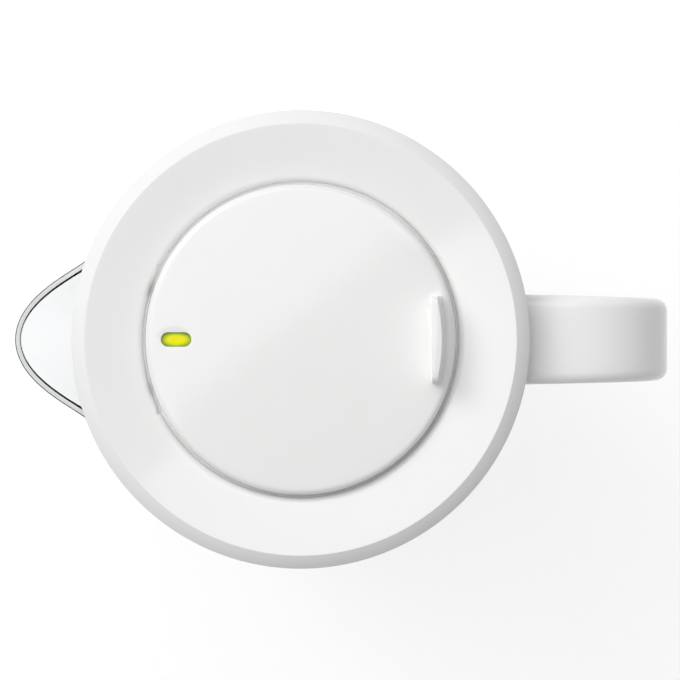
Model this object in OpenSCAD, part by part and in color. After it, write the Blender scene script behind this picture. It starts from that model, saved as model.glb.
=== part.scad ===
// Water filter jug with a flip lid
//
// Millimetres. The jug stands on Z = 0 and its axis is the Z axis.
// The spout points along -X and the handle along +X.
// A clear jug carries a hopper, the hopper carries the filter cartridge,
// and the lid lies on the rim with a round flap hinged at the spout side.

/* [Jug] */
// Height of the jug's rim above the table
jug_h = 240; // [225:1:255]
// Outer radius of the rim
rim_r = 84; // [82:0.5:85.5]
// Outer radius of the side wall just above the bottom corner
base_r = 60; // [56:0.5:66]
// How far the side wall bows outwards at mid height
bow = 2.5; // [1:0.25:4]
// Thickness of the clear wall
wall = 2.6; // [2.2:0.1:3]
// Outer radius of the bottom corner
corner_r = 8; // [6.5:0.5:9]
// Height of the jug's bottom above the table
lift = 2; // [1.5:0.25:3]
// Width of the ledge that the hopper's flange lies on
ledge_w = 3; // [2.5:0.25:3.5]

/* [Spout] */
// How far the spout's tip stands out past the rim
spout_reach = 25.6; // [18:0.2:30]
// Height of the spout from its root on the wall to its lip
spout_depth = 66; // [50:1:90]
// Half of the angle that the spout takes up at the rim, in degrees
spout_top_angle = 27; // [22:0.5:32]
// Half of the angle that the spout takes up at its root, in degrees
spout_low_angle = 15; // [10:0.5:20]

/* [Base ring] */
// Inset of the soft ring from the edge of the jug's flat bottom
foot_inset = 0.5; // [0.25:0.25:3]
// Width of the soft ring
foot_w = 6; // [4:0.5:8]
// Depth of the groove that holds the soft ring
groove_depth = 1.2; // [0.8:0.1:1.4]

/* [Handle] */
// Distance of the handle's outermost face from the jug's axis
handle_reach = 142.5; // [136:0.5:150]
// Drop from the rim to the top face of the handle
handle_drop = 6; // [5:0.5:10]
// Height of the handle's lower end above the table
handle_low = 88; // [78:1:100]
// Thickness of the handle
handle_t = 16; // [14:0.5:19]
// Width of the handle where it leaves the rim
handle_w = 35; // [31:0.5:38]
// Width of the handle at its outer corner
handle_w_corner = 31.5; // [28:0.5:34]
// Width of the handle at its lower end
handle_w_low = 28; // [25:0.5:30]
// Rounding of the handle's long edges
handle_round = 4.6; // [3.6:0.2:5.4]
// Wall of the handle's two shells
handle_wall = 2.2; // [1.6:0.1:2.6]

/* [Hopper] */
// Depth of the hopper from the rim to the lip of its socket
hopper_depth = 105; // [100:1:108]
// Outer radius of the hopper just under its flange
hopper_top_r = 77; // [75.5:0.5:77.5]
// Outer radius of the hopper above its floor
hopper_low_r = 63; // [58:0.5:65]
// Thickness of the hopper's flange
flange_t = 3; // [2.5:0.25:4]
// Thickness of the hopper's wall
hopper_wall = 2; // [1.6:0.1:2.4]
// Distance of the pour side's flat wall from the jug's axis
pour_wall_x = 65.2; // [64.8:0.2:66]

/* [Cartridge] */
// Outer radius of the cartridge just under its shoulder
cart_r = 30.8; // [28:0.2:31.5]
// Outer radius of the cartridge at its foot
cart_foot_r = 27.5; // [24:0.5:28]
// Length of the cartridge below its shoulder
cart_len = 70; // [60:1:71]
// Outer radius of the shoulder
shoulder_r = 36; // [35:0.2:37]
// Height of the domed cap
cap_h = 15; // [12:0.5:16]
// Number of inlet slots in the cap and of outlet slots in the foot
slots = 12; // [8:2:16]
// Height of the pull loop above the dome
loop_h = 13; // [11:0.5:14]

/* [Lid] */
// Outer radius of the lid
lid_r = 87.5; // [86.6:0.1:90]
// Height of the lid's outer ridge above the rim
ridge_h = 12; // [11.8:0.1:12.6]
// Width of the sloping band outside the ridge
bevel_w = 4.9; // [3.5:0.1:5.5]
// Drop of the sloping band from the ridge to the lid's side
bevel_drop = 3; // [2.4:0.1:4.5]
// Drop of the dished band from the ridge to its inner lip
dish = 2.4; // [2.2:0.1:2.6]
// Thickness of the lid's and the flap's skins
skin = 2.2; // [1.8:0.1:2.4]
// Radius of the fill opening
fill_r = 50; // [46:0.5:50.5]

/* [Flap] */
// Radius of the flap
flap_r = 59.2; // [58.6:0.1:60]
// Gap between the flap and the lid's lip
flap_gap = 1.1; // [1:0.1:1.4]
// Rise of the flap's edge above the lid's ridge
flap_rise = 1.8; // [1.6:0.1:2]
// Rise of the flap's crowned top from its edge to its centre
crown = 0.8; // [0.4:0.1:1.2]
// Distance of the hinge from the jug's axis
hinge_x = 52; // [51.4:0.1:52.4]
// Radius of the hinge pins
pin_r = 1.25; // [1.1:0.05:1.3]
// Radial clearance of the hinge pins in their bores
pin_fit = 0.05; // [0.03:0.01:0.08]

/* [Thumb tab] */
// Length of the thumb tab
tab_len = 32.7; // [26:0.5:36]
// Height of the thumb tab above the flap
tab_h = 11; // [7:0.5:14]
// Distance of the tab's straight inner face from the jug's axis
tab_x = 50; // [48:0.1:51]
// Thickness of the tab at the middle of its foot
tab_t = 5.8; // [5:0.1:6.4]

/* [Indicator] */
// Distance of the light window from the jug's axis
window_x = 47.4; // [46.8:0.1:48]
// Length of the light window
window_len = 11.6; // [10:0.1:12]
// Width of the light window
window_w = 5.5; // [4.5:0.1:6]
// Depth of the lens below the flap's top
window_depth = 1.3; // [0.8:0.1:1.5]
// Radius of the coin cell
cell_r = 10; // [9.5:0.1:10.2]
// Thickness of the coin cell
cell_t = 3.2; // [2.5:0.1:3.3]
// Travel of the reset button
button_travel = 0.7; // [0.4:0.1:0.7]

/* [Hidden] */

$fn = 96;
eps = 0.05;
// Clearance between a piece and the seat that it lifts off
seat_gap = 0.25;
// Clearance between pieces that are fixed to each other
snug = 0.15;

// ---------------------------------------------------------------- jug

// Height of the centre of the bottom corner
corner_z = lift + corner_r;
low_steps = 11;
spout_rows = 12;
// Heights of the side wall's stations: evenly up to the spout's root, then the spout's rows
root_z = jug_h - spout_depth;
side_levels = concat(
    [for (i = [1:low_steps]) corner_z + (root_z - corner_z) * i / low_steps],
    [for (j = [1:spout_rows]) root_z + spout_depth * j / spout_rows]);

// Outer radius of the side wall at a height
function side_r(z) =
    let (t = (z - corner_z) / (jug_h - corner_z))
    base_r + (rim_r - base_r) * t + bow * sin(180 * t);

// Outline of the jug from its axis to the rim, moved inwards by d
function jug_outline(d) = concat(
    [[0, lift + d]],
    [for (a = [-90:15:0])
        [base_r - corner_r + (corner_r - d) * cos(a), corner_z + (corner_r - d) * sin(a)]],
    [for (z = side_levels) [side_r(z) - d, z]]);

function reversed(list) = [for (i = [len(list) - 1:-1:0]) list[i]];

// Closes a stack of open bands into a solid. Each ring is a band's one face
// followed by its other face backwards, and runs anticlockwise about the way
// from the first ring to the last. Its ends are closed by strips across the band.
module loft(rings) {
    n = len(rings[0]);
    m = len(rings);
    points = [for (ring = rings) each ring];
    sides = [for (j = [0:m - 2], i = [0:n - 1])
        let (a = j * n + i,
             b = j * n + (i + 1) % n)
        each [[a, b + n, b], [a, a + n, b + n]]];
    first = [for (i = [0:n / 2 - 2])
        each [[i, i + 1, n - 2 - i], [i, n - 2 - i, n - 1 - i]]];
    last = [for (f = first) [for (k = [2:-1:0]) (m - 1) * n + f[k]]];
    polyhedron(points, concat(first, sides, last), convexity = 6);
}

// The spout is a bell-shaped swelling of the round wall. It grows from its
// root up to the lip and runs into the wall without a corner, so the sector
// of the wall that holds it is made with it.
sector_angle = spout_top_angle + 3;
spout_columns = 24;

function spout_z(s) = root_z + spout_depth * s;
function spout_angle(s) = spout_low_angle + (spout_top_angle - spout_low_angle) * s;
function bell(a, s) = abs(a) < spout_angle(s) ? pow(cos(90 * a / spout_angle(s)), 2) : 0;
function spout_xy(a, s) =
    let (r = side_r(spout_z(s)) + spout_reach * pow(s, 1.35) * bell(a, s))
    [r * cos(180 + a), r * sin(180 + a)];
function spout_normal(a, s) =
    let (t = spout_xy(a + 0.01, s) - spout_xy(a - 0.01, s))
    [t.y, -t.x] / norm(t);

// One level of the sector's face, moved inwards by d
function spout_line(s, d) =
    [for (i = [0:spout_columns])
        let (a = sector_angle * (2 * i / spout_columns - 1),
             p = spout_xy(a, s) - d * spout_normal(a, s))
        [p.x, p.y, spout_z(s)]];

module spout_sector() {
    // Its lowest level stands just inside both faces of the round wall
    loft([for (j = [0:spout_rows])
        let (s = j / spout_rows,
             inset = j == 0 ? eps : 0)
        concat(spout_line(s, inset), reversed(spout_line(s, wall - inset)))]);
}

// The wedge of the round wall that the sector takes the place of
module sector_room() {
    reach = 2 * rim_r;
    translate([0, 0, root_z])
        linear_extrude(spout_depth + 1)
            polygon([[0, 0],
                     [-reach * cos(sector_angle), reach * sin(sector_angle)],
                     [-reach * cos(sector_angle), -reach * sin(sector_angle)]]);
}

// Height of the ledge inside the rim
ledge_z = jug_h - flange_t - seat_gap;

module ledge_ring() {
    face_r = side_r(ledge_z) - wall;
    rotate_extrude()
        polygon([[face_r - ledge_w, ledge_z],
                 [face_r + wall / 2, ledge_z],
                 [face_r + wall / 2, ledge_z - 2.5 * ledge_w],
                 [face_r - 0.3, ledge_z - 2.5 * ledge_w],
                 [face_r - ledge_w, ledge_z - 1.5]]);
}

// Tongues on the wall that the handle's hollow ends are pushed over
tongue_w = 16;
tongue_t = 6;
tongue_len = 11;

module tongue(z) {
    r = side_r(z);
    translate([r - wall / 2, -tongue_w / 2, z - tongue_t / 2])
        cube([tongue_len + wall / 2, tongue_w, tongue_t]);
}

// Outer radius of the soft ring that the jug stands on
foot_r = base_r - corner_r - foot_inset;

module foot_groove(r_out, r_in, z0, z1) {
    translate([0, 0, z0])
        difference() {
            cylinder(r = r_out, h = z1 - z0);
            translate([0, 0, -1])
                cylinder(r = r_in, h = z1 - z0 + 2);
        }
}

module jug_body() {
    color([0.93, 0.96, 0.98, 0.5])
        union() {
            difference() {
                union() {
                    rotate_extrude()
                        polygon(concat(jug_outline(0), reversed(jug_outline(wall))));
                    ledge_ring();
                    tongue(handle_top_z);
                    tongue(handle_low);
                }
                sector_room();
                foot_groove(foot_r - 1, foot_r - foot_w + 1, lift - 1, lift + groove_depth);
            }
            spout_sector();
        }
}

module base_ring() {
    // The ring's tongue sits in the jug's groove and its tread on the table
    color("gainsboro")
        rotate_extrude()
            polygon([[foot_r - foot_w + 0.6, 0],
                     [foot_r - 0.6, 0],
                     [foot_r, 0.6],
                     [foot_r, lift],
                     [foot_r - 1 - snug, lift],
                     [foot_r - 1 - snug, lift + groove_depth - snug],
                     [foot_r - foot_w + 1 + snug, lift + groove_depth - snug],
                     [foot_r - foot_w + 1 + snug, lift],
                     [foot_r - foot_w, lift],
                     [foot_r - foot_w, 0.6]]);
}

// ------------------------------------------------------------- handle

handle_half = handle_t / 2;
// Height of the handle's centre line where it leaves the wall
handle_top_z = jug_h - handle_drop - handle_half;
// Distance of the centre line from the axis along the grip
grip_x = handle_reach - handle_half;
// The two shells part a little below the centre line
part_n = -1.5;
handle_steps = 8;

// The centre line is three Bezier curves in the XZ plane: the run out from
// the rim and round the outer corner, the grip, and the return to the wall.
handle_curves = [
    [[rim_r - 6, handle_top_z + 0.5],
     [grip_x - 30, handle_top_z + 2],
     [grip_x, handle_top_z + 2],
     [grip_x, handle_top_z - 32]],
    [[grip_x, handle_top_z - 32],
     [grip_x, handle_top_z - 72],
     [grip_x - 6, handle_low + 25],
     [grip_x - 33, handle_low + 10]],
    [[grip_x - 33, handle_low + 10],
     [grip_x - 46, handle_low + 3],
     [grip_x - 58, handle_low],
     [base_r + 1, handle_low]]];

function bezier(p, t) =
    pow(1 - t, 3) * p[0] + 3 * pow(1 - t, 2) * t * p[1]
    + 3 * (1 - t) * t * t * p[2] + pow(t, 3) * p[3];
function bezier_way(p, t) =
    3 * pow(1 - t, 2) * (p[1] - p[0]) + 6 * (1 - t) * t * (p[2] - p[1])
    + 3 * t * t * (p[3] - p[2]);

// Width of the handle along its length: u runs from 0 at the rim to 3
function handle_width(u) = u < 1
    ? handle_w + (handle_w_corner - handle_w) * u
    : handle_w_corner + (handle_w_low - handle_w_corner) * (u - 1) / 2;

// The upper part of a rounded section, from one parting edge to the other
function hood(w, half, c) = concat(
    [[w / 2, part_n]],
    [for (a = [0:22.5:90]) [w / 2 - c + c * cos(a), half - c + c * sin(a)]],
    [for (a = [90:22.5:180]) [-w / 2 + c + c * cos(a), half - c + c * sin(a)]],
    [[-w / 2, part_n]]);

// The lower part of the same section, from an edge at height top
function tray(w, half, c, top) = concat(
    [[-w / 2, top]],
    [for (a = [180:22.5:270]) [-w / 2 + c + c * cos(a), -half + c + c * sin(a)]],
    [for (a = [270:22.5:360]) [w / 2 - c + c * cos(a), -half + c + c * sin(a)]],
    [[w / 2, top]]);

function shell_section(w) = concat(
    hood(w, handle_half, handle_round),
    reversed(hood(w - 2 * handle_wall, handle_half - handle_wall,
                  handle_round - handle_wall)));

// The back shell has a rib along each side that stands inside the hood
back_rib_t = 1.4;
back_rib_h = 2;

function back_section(w) =
    let (v = w / 2 - handle_wall - snug,
         q = v - back_rib_t,
         edge = part_n - snug,
         tip = part_n + back_rib_h)
    concat(
        [[-v, tip], [-v, edge]],
        tray(w, handle_half, handle_round, edge),
        [[v, edge], [v, tip]],
        [[q, tip], [q, edge + 1]],
        reversed(tray(2 * q, handle_half - handle_wall, handle_round - handle_wall, edge - 0.8)),
        [[-q, edge + 1], [-q, tip]]);

// A section placed across the centre line at u
function handle_ring(u, section) =
    let (k = min(floor(u), 2),
         t = u - k,
         p = bezier(handle_curves[k], t),
         d = bezier_way(handle_curves[k], t),
         n = [-d.y, d.x] / norm(d))
    [for (q = section) [p.x + n.x * q.y, q.x, p.y + n.y * q.y]];

module handle_cut() {
    // What the jug's wall takes up, with a glue line round it
    rotate_extrude()
        polygon(concat(jug_outline(-snug / 2), [[0, jug_h]]));
}

module handle_shell() {
    color("white")
        difference() {
            loft([for (i = [0:3 * handle_steps])
                let (u = i / handle_steps)
                handle_ring(u, shell_section(handle_width(u)))]);
            handle_cut();
        }
}

module handle_back() {
    color("whitesmoke")
        difference() {
            loft([for (i = [0:3 * handle_steps])
                let (u = i / handle_steps)
                handle_ring(u, back_section(handle_width(u)))]);
            handle_cut();
        }
}

// ------------------------------------------------------------- hopper

flange_z = jug_h - flange_t;
flange_r = side_r(flange_z) - wall - seat_gap;
socket_z = jug_h - hopper_depth;
// Radii of the socket's steps: the shoulder's seat, the seal's wall, the collar
seat_r = shoulder_r + 0.4;
seal_bore_r = cart_r + 2.3;
collar_r = cart_r + 0.5;
collar_depth = 26;
shoulder_t = 2.7;
shoulder_z = socket_z - shoulder_t;

// Radii and heights of the hopper's bowl, moved outwards by d
function bowl(d, top) = [
    [seat_r + d, socket_z - d],
    [hopper_low_r - 5, socket_z + 6 - d],
    [hopper_low_r - hopper_wall + d, socket_z + 12 - d],
    [hopper_top_r - hopper_wall + d, top]];

module hopper_outside() {
    rotate_extrude()
        polygon(concat(
            [[0, socket_z - collar_depth],
             [collar_r + hopper_wall, socket_z - collar_depth],
             [collar_r + hopper_wall, socket_z - 12.5],
             [seal_bore_r + hopper_wall, socket_z - 10.5],
             [seal_bore_r + hopper_wall, socket_z - 6],
             [seat_r + hopper_wall, socket_z - 4]],
            bowl(hopper_wall, jug_h - 1),
            [[0, jug_h - 1]]));
}

module hopper_inside() {
    rotate_extrude()
        polygon(concat(
            [[0, socket_z - collar_depth - 1],
             [collar_r, socket_z - collar_depth - 1],
             [collar_r, socket_z - 10.5],
             [seal_bore_r, socket_z - 10.5],
             [seal_bore_r, shoulder_z - seat_gap],
             [seat_r, shoulder_z - seat_gap],
             [seat_r, socket_z - eps]],
            bowl(0, jug_h + 1),
            [[0, jug_h + 1]]));
}

// The half space in front of which the hopper is cut flat to let water out
module behind(x) {
    translate([-x, -100, socket_z - collar_depth - 5])
        cube([x + 100, 200, hopper_depth + collar_depth + 10]);
}

module funnel() {
    color([0.95, 0.97, 1, 0.8])
        difference() {
            union() {
                intersection() {
                    hopper_outside();
                    behind(pour_wall_x);
                }
                translate([0, 0, flange_z])
                    cylinder(r = flange_r, h = flange_t);
            }
            intersection() {
                hopper_inside();
                behind(pour_wall_x - hopper_wall);
            }
        }
}

// ---------------------------------------------------------- cartridge

cup_wall = 1.6;
foot_z = shoulder_z - cart_len;
function cup_r(z) = cart_foot_r + (cart_r - cart_foot_r) * (z - foot_z) / cart_len;
mesh_t = 0.8;
// The granules stop short of the cup's mouth
media_top = shoulder_z - 6;
media_low = foot_z + cup_wall + mesh_t;

// Copies of a child evenly round the jug's axis
module around(n) {
    for (i = [0:n - 1])
        rotate([0, 0, 360 * i / n])
            children();
}

module cartridge_cup() {
    color("white")
        difference() {
            rotate_extrude()
                polygon([[0, foot_z],
                         [cart_foot_r - 1, foot_z],
                         [cart_foot_r, foot_z + 1],
                         [cart_r, shoulder_z],
                         [shoulder_r, shoulder_z],
                         [shoulder_r, socket_z - 0.8],
                         [cart_r - cup_wall, socket_z - 0.8],
                         [cart_r - cup_wall, shoulder_z],
                         [cart_foot_r - cup_wall, foot_z + cup_wall],
                         [0, foot_z + cup_wall]]);
            around(slots)
                translate([cart_foot_r / 3, -1, foot_z - 1])
                    cube([cart_foot_r / 2, 2, cup_wall + 2]);
            // The groove that holds the seal
            rotate_extrude()
                polygon([[cart_r - 0.5, shoulder_z - 4.4],
                         [cart_r + 1, shoulder_z - 4.4],
                         [cart_r + 1, shoulder_z - 2],
                         [cart_r - 0.5, shoulder_z - 2]]);
        }
}

module cartridge_seal() {
    color("slategray")
        rotate_extrude()
            polygon([[cart_r - 0.4, shoulder_z - 4.3],
                     [cart_r + 1.3, shoulder_z - 4.3],
                     [cart_r + 2, shoulder_z - 3.2],
                     [cart_r + 1.3, shoulder_z - 2.1],
                     [cart_r - 0.4, shoulder_z - 2.1]]);
}

module cartridge_media() {
    color("dimgray")
        rotate_extrude()
            polygon([[0, media_low],
                     [cup_r(media_low) - cup_wall - snug, media_low],
                     [cup_r(media_top) - cup_wall - snug, media_top],
                     [0, media_top]]);
}

module inlet_mesh() {
    color("lightgray")
        translate([0, 0, media_top])
            cylinder(r = cup_r(media_top) - cup_wall - snug, h = mesh_t);
}

module outlet_mesh() {
    color("lightgray")
        translate([0, 0, foot_z + cup_wall])
            cylinder(r = cart_foot_r - cup_wall - snug, h = mesh_t);
}

cap_wall = 1.8;
cap_z = socket_z - 0.8;
loop_r = 8.5;
loop_bar = 2.1;

// The dome's outline from its edge to its top
function dome(r, h, z) = [for (a = [0:11.25:90]) [r * cos(a), z + h * sin(a)]];

module cartridge_cap() {
    color("white")
        difference() {
            union() {
                rotate_extrude()
                    polygon(concat(
                        [[0, cap_z + cap_h - cap_wall],
                         [0, cap_z + cap_h]],
                        reversed(dome(shoulder_r - 0.6, cap_h, cap_z)),
                        [[shoulder_r - 0.6 - cap_wall, cap_z]],
                        dome(shoulder_r - 0.6 - cap_wall, cap_h - cap_wall, cap_z)));
                // The spigot that plugs into the cup's mouth
                rotate_extrude()
                    polygon([[cart_r - cup_wall - snug, cap_z - 2],
                             [cart_r - cup_wall - snug, cap_z],
                             [shoulder_r - 1.2, cap_z],
                             [shoulder_r - 1.2, cap_z + 2],
                             [cart_r - cup_wall - 1.8, cap_z + 2],
                             [cart_r - cup_wall - 1.8, cap_z - 2]]);
                pull_loop();
            }
            around(slots)
                translate([shoulder_r * 0.42, -1.1, cap_z + 3])
                    cube([shoulder_r * 0.38, 2.2, cap_h]);
        }
}

module pull_loop() {
    top = cap_z + cap_h + loop_h - loop_bar;
    // A round bar: two legs and a half ring
    translate([0, 0, top - loop_r])
        rotate([90, 0, 0])
            rotate_extrude(angle = 180)
                translate([loop_r, 0])
                    circle(r = loop_bar);
    for (x = [-loop_r, loop_r])
        translate([x, 0, cap_z + cap_h - 2.5])
            cylinder(r = loop_bar, h = loop_h - loop_bar - loop_r + 2.5);
}

// ---------------------------------------------------------------- lid

// Heights of the lid: its underside, ridge, lip and the ledge under the flap
lid_z = jug_h + seat_gap;
ridge_z = jug_h + ridge_h;
ridge_r = lid_r - bevel_w;
lip_z = ridge_z - dish;
lip_r = flap_r + flap_gap;
liner_t = 2.15;
// Depth of the throat round the fill opening, and its opening at the trough
throat_depth = 4.5;
throat_gap = 36;
// The joint between the lid's ring and its liner
joint_z = lid_z + liner_t;
rest_t = 4;
rest_z = joint_z + rest_t;
// The lip's rounding leaves room for the flap's back edge as it turns down
lip_round = min(3, lip_z - rest_z - 0.1);
well_r = lip_r + skin;

// Flap: its edge height, the underside of its skin and its skirt
flap_z = ridge_z + flap_rise;
under_z = flap_z - 2;
skirt_z = rest_z + 0.3;
skirt_r = flap_r - 1.8;

// Hinge line at the spout side
knuckle_r = 2.2;
hinge_z = under_z - knuckle_r - 0.4;
ear_y = [17.2, 20.2];
knuckle_y = [13.4, 16.9];
// Space beside each ear in the flap's skirt
ear_gap = 0.5;
// The trough that takes the flap's back edge when the flap stands open
swing_gap = 0.35;
trough_wall = 1.6;
barrel_steps = 12;
chord_x = 48.6;

module at_hinge() {
    translate([-hinge_x, 0, hinge_z])
        rotate([90, 0, 0])
            children();
}

module lid_section() {
    polygon([[lid_r - 0.3, lid_z + 0.35],
             [lid_r, lid_z + 0.95],
             [lid_r, ridge_z - bevel_drop - 0.7],
             [lid_r - 0.4, ridge_z - bevel_drop],
             [ridge_r + 0.4, ridge_z - 0.5],
             [ridge_r - 0.2, ridge_z - 0.05],
             [ridge_r - 1.2, ridge_z - 0.15],
             [lip_r + lip_round + 1, lip_z + 0.1],
             for (a = [90:15:180])
                 [lip_r + lip_round + lip_round * cos(a), lip_z - lip_round + lip_round * sin(a)],
             [lip_r, rest_z],
             [fill_r + 2.4, rest_z],
             [fill_r + 1.8, rest_z - 0.6],
             [fill_r + 1.8, joint_z],
             [well_r, joint_z],
             [well_r, lip_z - skin + 0.3],
             [rib_r - 1.6, lid_under(rib_r - 1.6)],
             [rib_r - 1.6, joint_z],
             [rib_r, joint_z],
             [rib_r, lid_under(rib_r)],
             [ridge_r - 0.6, ridge_z - skin - 0.15],
             [lid_r - skin - 0.4, ridge_z - bevel_drop - 1.2],
             [lid_r - skin, lid_z + 0.35]]);
}

// Outer radius of the liner's plate, and of the lid's rib that stands on it
liner_r = flange_r - 2;
rib_r = liner_r - 0.6;

// Underside of the dished skin at a radius
function lid_under(r) =
    lip_z - skin + 0.1 + (dish - 0.25) * (r - well_r) / (ridge_r - well_r);

// How far from the hinge line the flap's back edge swings at a distance y along it
swing_end = sqrt(flap_r * flap_r - hinge_x * hinge_x);
function swing(y) =
    norm([sqrt(flap_r * flap_r - y * y) - hinge_x, hinge_z - skirt_z]);

// A barrel round the hinge line that the back edge swings in, grown by d and
// cut off behind the fill opening. It is solid, and ends at a height top.
module barrel(d, chord, top) {
    half = swing_end + swing_gap + d;
    reach = swing(0) + swing_gap + d;
    intersection() {
        at_hinge()
            rotate_extrude()
                polygon(concat(
                    [[0, -half]],
                    [for (i = [-barrel_steps:barrel_steps])
                        [swing(swing_end * i / barrel_steps) + swing_gap + d, half * i / barrel_steps]],
                    [[0, half]]));
        translate([-hinge_x - reach - 1, -half - 1, hinge_z - reach - 1])
            cube([hinge_x - chord + reach + 1, 2 * half + 2, top - hinge_z + reach + 1]);
    }
}

module lid_ring() {
    color("white")
        difference() {
            union() {
                difference() {
                    union() {
                        rotate_extrude()
                            lid_section();
                        barrel(trough_wall, chord_x - trough_wall, rest_z);
                    }
                    barrel(0, chord_x, ridge_z);
                }
                hinge_ears();
            }
            at_hinge()
                cylinder(r = pin_r + pin_fit, h = 3 * ear_y[1], center = true);
        }
}

module hinge_ears() {
    for (side = [-1, 1])
        intersection() {
            union() {
                at_hinge()
                    translate([0, 0, side * (ear_y[0] + ear_y[1]) / 2])
                        cylinder(r = knuckle_r, h = ear_y[1] - ear_y[0], center = true);
                translate([-hinge_x - 1.2, side > 0 ? ear_y[0] : -ear_y[1], lid_z - throat_depth])
                    cube([1.2 + knuckle_r, ear_y[1] - ear_y[0], hinge_z - lid_z + throat_depth]);
            }
            // The ears' feet end inside the trough's floor
            union() {
                barrel(trough_wall, chord_x - trough_wall, lip_z);
                at_hinge()
                    cylinder(r = knuckle_r, h = 3 * ear_y[1], center = true);
            }
        }
}

// The liner closes the lid from below, lies on the hopper's flange and plugs
// into the hopper's mouth
plug_r = hopper_top_r - hopper_wall - 1.2;
plug_depth = 3;

module lid_liner() {
    color("whitesmoke")
        difference() {
            rotate_extrude()
                polygon([[fill_r, lid_z - throat_depth],
                         [fill_r + 1.8, lid_z - throat_depth],
                         [fill_r + 1.8, lid_z],
                         [plug_r - 1.8, lid_z],
                         [plug_r - 1.8, lid_z - plug_depth],
                         [plug_r, lid_z - plug_depth],
                         [plug_r, lid_z],
                         [liner_r, lid_z],
                         [liner_r, joint_z],
                         [fill_r, joint_z]]);
            // Only the plate goes on over the pour side's flat wall
            translate([-lid_r - pour_wall_x + hopper_wall + 0.8, -lid_r, lid_z - 10])
                cube([lid_r, 2 * lid_r, 10]);
            // The trough hangs down through the liner, and the throat makes way for it
            barrel(trough_wall + snug, chord_x - trough_wall - snug, ridge_z);
            translate([-lid_r, -throat_gap / 2, lid_z - 10])
                cube([lid_r - chord_x + trough_wall + snug, throat_gap, 10]);
        }
}

// --------------------------------------------------------------- flap

// A slot with round ends along X
module stadium(len, w, z0, z1) {
    translate([0, 0, z0]) {
        for (x = [-1, 1])
            translate([x * (len - w) / 2, 0, 0])
                cylinder(r = w / 2, h = z1 - z0);
        translate([-(len - w) / 2, -w / 2, 0])
            cube([len - w, w, z1 - z0]);
    }
}

edge_round = 2.5;

// Height of the crowned top at a radius
function crown_z(r) = flap_z + crown * (1 - pow(r / (flap_r - edge_round), 2));

module flap_section() {
    polygon(concat(
        [[0, under_z], [0, crown_z(0)]],
        [for (i = [1:10])
            let (r = (flap_r - edge_round) * i / 10)
            [r, crown_z(r)]],
        [for (a = [75:-15:0])
            [flap_r - edge_round + edge_round * cos(a),
             flap_z - edge_round + edge_round * sin(a)]],
        [[flap_r, skirt_z + 0.4],
         [flap_r - 0.4, skirt_z],
         [skirt_r, skirt_z],
         [skirt_r, under_z]]));
}

// The tab: straight towards the spout, curved and leaning in behind
tab_bend = 71;
tab_lean = 2.2;
tab_round = 3;

module thumb_tab() {
    foot = flap_z - 1;
    top = crown_z(tab_x) + tab_h;
    rise = top - foot;
    intersection() {
        translate([tab_x + tab_t - tab_bend, 0, foot])
            cylinder(r1 = tab_bend, r2 = tab_bend - tab_lean, h = rise, $fn = 300);
        // Its face seen from the handle, with rounded upper corners
        translate([tab_x, 0, foot])
            rotate([90, 0, 90])
                linear_extrude(tab_t + 1)
                    polygon(concat(
                        [[-tab_len / 2, 0], [tab_len / 2, 0]],
                        [for (a = [0:15:90])
                            [tab_len / 2 - tab_round + tab_round * cos(a),
                             rise - tab_round + tab_round * sin(a)]],
                        [for (a = [90:15:180])
                            [-tab_len / 2 + tab_round + tab_round * cos(a),
                             rise - tab_round + tab_round * sin(a)]]));
    }
}

module flap_cover() {
    color("white")
        difference() {
            union() {
                rotate_extrude()
                    flap_section();
                thumb_tab();
            }
            translate([-window_x, 0, 0])
                stadium(window_len, window_w, under_z - 1, flap_z + crown + 1);
            // The skirt passes the lid's ears as the flap turns
            for (side = [-1, 1])
                translate([-flap_r, side > 0 ? ear_y[0] - ear_gap : -ear_y[1] - ear_gap, skirt_z - 1])
                    cube([flap_r - hinge_x, ear_y[1] - ear_y[0] + 2 * ear_gap,
                          hinge_z + 1.5 - skirt_z + 1]);
        }
}

// The underside closes the flap and carries the hinge pins and the cell
plate_t = 1.5;
plate_z = skirt_z + 0.3;
plate_top = plate_z + plate_t;
plate_r = skirt_r - snug;
cell_x = -31;
pocket_r = cell_r + 0.6;
seat_step_r = pocket_r + 2.4;
boss_r = seat_step_r + 1.6;
cover_t = 1.7;
pad_t = 0.2;
strip_t = 0.3;
seal_t = 0.6;
// Heights of the cell, of the bent strip under it and of the boss's lower face
cell_z = plate_top - pad_t - cell_t;
strip_z = cell_z - strip_t - 1.1;
boss_low = strip_z - seal_t - cover_t;
cover_top = boss_low + cover_t;
button_x = -9;
button_r = 3.4;
button_flange_r = 4.5;
button_boss_r = 6.2;
button_boss_z = plate_z - 1.3;
button_flange_t = 0.5;
// The flange stops just short of the board's switch at the end of its travel
button_top = plate_top - pad_t - 0.1 - button_travel;
button_seat_z = button_top - button_flange_t - 0.3;

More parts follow.
